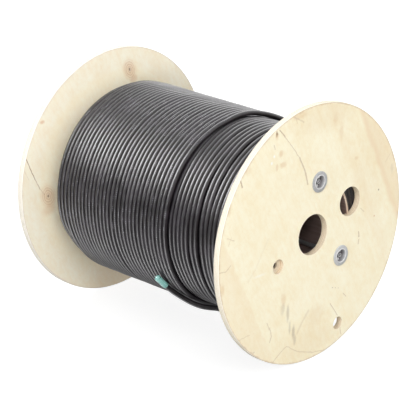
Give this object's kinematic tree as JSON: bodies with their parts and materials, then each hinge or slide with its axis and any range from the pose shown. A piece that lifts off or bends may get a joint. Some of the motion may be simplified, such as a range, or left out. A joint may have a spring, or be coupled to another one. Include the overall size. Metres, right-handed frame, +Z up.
{
  "type": "wooden cable drum",
  "caption": "Plywood drum with two round flanges on a tie-rod clamped barrel, wound with a round black cable whose loose capped end crosses the turns.",
  "frame": {"origin": "on the floor under the middle of the drum's width, midway between the two flange rims it rests on", "axes": "+X along the drum's axis towards the flange with the lead-out hole, +Z up"},
  "size_m": [0.3826, 0.3496, 0.3496],
  "materials": {
    "plywood": "bare sanded face veneer, plies showing on the edges",
    "barrel_ply": "bare thin plywood, darker inside",
    "zinc_steel": "bright zinc",
    "cable_jacket": "satin black jacket",
    "cap_plastic": "shrunk-on pale green cap"
  },
  "bodies": {
    "root": {"flange_lead_side": "plywood", "flange_plain_side": "plywood", "barrel": "barrel_ply", "cable_winding": "cable_jacket", "cable_loose_end": "cable_jacket", "end_cap": "cap_plastic", "tie_rod_1": "zinc_steel", "tie_rod_2": "zinc_steel", "cup_nut_1_lead_side": "zinc_steel", "cup_nut_1_plain_side": "zinc_steel", "cup_nut_2_lead_side": "zinc_steel", "cup_nut_2_plain_side": "zinc_steel"}
  },
  "joints": []
}
